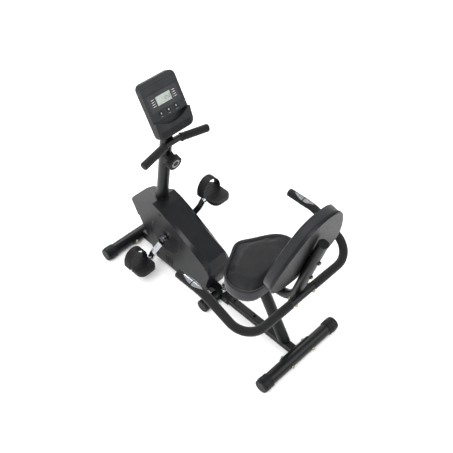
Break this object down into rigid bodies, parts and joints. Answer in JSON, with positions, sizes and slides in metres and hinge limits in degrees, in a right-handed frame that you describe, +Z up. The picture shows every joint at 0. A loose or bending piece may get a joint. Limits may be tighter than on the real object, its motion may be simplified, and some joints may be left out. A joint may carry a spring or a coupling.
{
  "type": "recumbent exercise bike",
  "caption": "Compact recumbent exercise bike: sliding padded seat with U-shaped hand bar, strapped pedals, belt-driven flywheel in a casing, and a console on a leaning post.",
  "frame": {"origin": "on the floor, under the middle of the overall length, in the machine's middle plane", "axes": "+X forward, from the seat to the console; +Y to the rider's left; +Z up"},
  "size_m": [1.0166, 0.609, 0.937],
  "materials": {
    "frame_paint": "satin",
    "black_plastic": "satin",
    "casing_plastic": "satin",
    "console_plastic": "satin",
    "seat_vinyl": "matte",
    "grip_foam": "matte",
    "strap_rubber": "satin",
    "chrome": "polished",
    "zinc_bolts": "satin",
    "steel": "satin",
    "iron": "matte",
    "belt_rubber": "matte",
    "display_glass": "gloss",
    "board_green": "matte"
  },
  "bodies": {
    "frame": {"front_frame": "frame_paint", "front_stabiliser": "frame_paint", "front_end_caps": "black_plastic", "front_frame_bolts": "zinc_bolts", "frame_bush": "black_plastic", "crank_housing": "frame_paint", "crank_bearings": "steel", "flywheel_bracket": "frame_paint", "drive_axles": "steel", "drive_belt": "belt_rubber", "casing_hood": "casing_plastic", "left_casing": "casing_plastic", "right_casing": "casing_plastic", "housing_screws": "steel", "post_collar": "black_plastic", "console_post": "frame_paint", "handlebar": "frame_paint", "handlebar_grips": "grip_foam", "knob_housing": "black_plastic", "tension_cable": "strap_rubber", "console_front": "console_plastic", "console_back": "console_plastic", "tray_lip": "console_plastic", "display_lens": "display_glass", "circuit_board": "board_green"},
    "seat_carriage": {"rear_stabiliser": "frame_paint", "rear_end_caps": "black_plastic", "rear_beam": "frame_paint", "rear_frame_bolts": "zinc_bolts", "seat_frame_plates": "frame_paint", "seat_tube": "frame_paint", "seat_post": "frame_paint", "seat_board": "black_plastic", "seat_cushion": "seat_vinyl", "backrest_shell": "black_plastic", "backrest_cushion": "seat_vinyl", "u_bar": "frame_paint", "foam_grips": "grip_foam", "pulse_plates": "chrome"},
    "lock_pin": {"pull_pin": "chrome"},
    "lock_ring": {"pull_ring": "chrome"},
    "crank": {"crank_axle": "steel", "crank_pulley": "black_plastic", "left_crank": "chrome", "right_crank": "chrome", "pedal_spindles": "steel"},
    "left_foot": {"left_pedal": "black_plastic", "left_pedal_strap": "strap_rubber", "left_pedal_weight": "iron"},
    "right_foot": {"right_pedal": "black_plastic", "right_pedal_strap": "strap_rubber", "right_pedal_weight": "iron"},
    "wheel": {"flywheel": "iron"},
    "idler": {"idler_wheel": "black_plastic"},
    "knob": {"tension_knob": "black_plastic", "knob_spindle": "steel"},
    "brake": {"magnet_bracket": "steel"},
    "left_key": {"left_button": "black_plastic"},
    "middle_key": {"middle_button": "black_plastic"},
    "right_key": {"right_button": "black_plastic"}
  },
  "joints": [
    {"name": "seat_slide", "type": "slide", "parent": "frame", "child": "seat_carriage", "axis": [1, 0, 0], "range_m": [0, 0.172]},
    {"name": "pin_pull", "type": "slide", "parent": "frame", "child": "lock_pin", "axis": [0, 0, 1], "range_m": [-0.009, 0.006]},
    {"name": "ring_swing", "type": "hinge", "parent": "lock_pin", "child": "lock_ring", "pos_m": [-0.0401, 0, 0.089], "axis": [0, 1, 0], "range_deg": [-60, 60]},
    {"name": "crank_spin", "type": "hinge", "parent": "frame", "child": "crank", "pos_m": [0.2419, 0, 0.21], "axis": [0, 1, 0], "continuous": true},
    {"name": "left_pedal_spin", "type": "hinge", "parent": "crank", "child": "left_foot", "pos_m": [0.3037, 0.157, 0.06786], "axis": [0, 1, 0], "continuous": true},
    {"name": "right_pedal_spin", "type": "hinge", "parent": "crank", "child": "right_foot", "pos_m": [0.18009, -0.157, 0.35214], "axis": [0, 1, 0], "continuous": true},
    {"name": "flywheel_spin", "type": "hinge", "parent": "frame", "child": "wheel", "pos_m": [0.0909, 0, 0.142], "axis": [0, 1, 0], "continuous": true},
    {"name": "idler_spin", "type": "hinge", "parent": "frame", "child": "idler", "pos_m": [0.13905, 0, 0.10394], "axis": [0, 1, 0], "continuous": true},
    {"name": "knob_turn", "type": "hinge", "parent": "frame", "child": "knob", "pos_m": [0.27619, 0, 0.597], "axis": [-0.9871, 0, -0.1599], "range_deg": [0, 315]},
    {"name": "brake_swing", "type": "hinge", "parent": "frame", "child": "brake", "pos_m": [0.02037, 0, 0.1971], "axis": [0, 1, 0], "range_deg": [-8.2, 0.2]},
    {"name": "left_button_press", "type": "slide", "parent": "frame", "child": "left_key", "axis": [0.866, 0, -0.5], "range_m": [0, 0.001], "stiffness_N_per_m": 400, "springref_m": -0.0003},
    {"name": "middle_button_press", "type": "slide", "parent": "frame", "child": "middle_key", "axis": [0.866, 0, -0.5], "range_m": [0, 0.001], "stiffness_N_per_m": 400, "springref_m": -0.0003},
    {"name": "right_button_press", "type": "slide", "parent": "frame", "child": "right_key", "axis": [0.866, 0, -0.5], "range_m": [0, 0.001], "stiffness_N_per_m": 400, "springref_m": -0.0003}
  ],
  "couplings": [
    {"joint": "flywheel_spin", "follows": "crank_spin", "ratio": 6.25},
    {"joint": "idler_spin", "follows": "crank_spin", "ratio": -7.1429},
    {"joint": "brake_swing", "follows": "knob_turn", "ratio": -0.025397}
  ]
}
